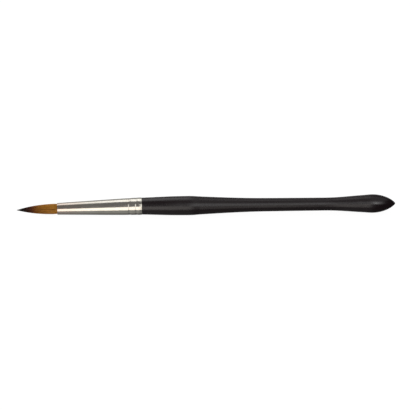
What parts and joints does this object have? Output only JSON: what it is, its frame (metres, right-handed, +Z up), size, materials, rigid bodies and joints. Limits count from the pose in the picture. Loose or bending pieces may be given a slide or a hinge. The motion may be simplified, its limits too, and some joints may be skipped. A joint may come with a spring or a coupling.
{
  "type": "detail brush",
  "caption": "Round pointed detail brush: a tied hair tuft set in a tapered crimped metal ferrule on a slim turned handle with a belly, a waist and a rounded end.",
  "frame": {"origin": "on the table plane, under the middle of the brush's overall length and of its handle's thickness", "axes": "+X along the brush from the point of the hair toward the end of the handle, +Z up from the table the brush lies on"},
  "size_m": [0.1904, 0.0096, 0.0096],
  "materials": {
    "hair": "soft natural hair, golden brown and darkening to near black at the point",
    "thread": "waxed thread",
    "resin": "cast resin",
    "ferrule_metal": "seamless brass with bright nickel plate",
    "glue": "set glue",
    "lacquered_wood": "turned hardwood with satin black lacquer"
  },
  "bodies": {
    "root": {"hair_tuft": "hair", "binding_thread": "thread", "resin_plug": "resin", "ferrule": "ferrule_metal", "tenon_glue": "glue", "handle": "lacquered_wood"}
  },
  "joints": []
}
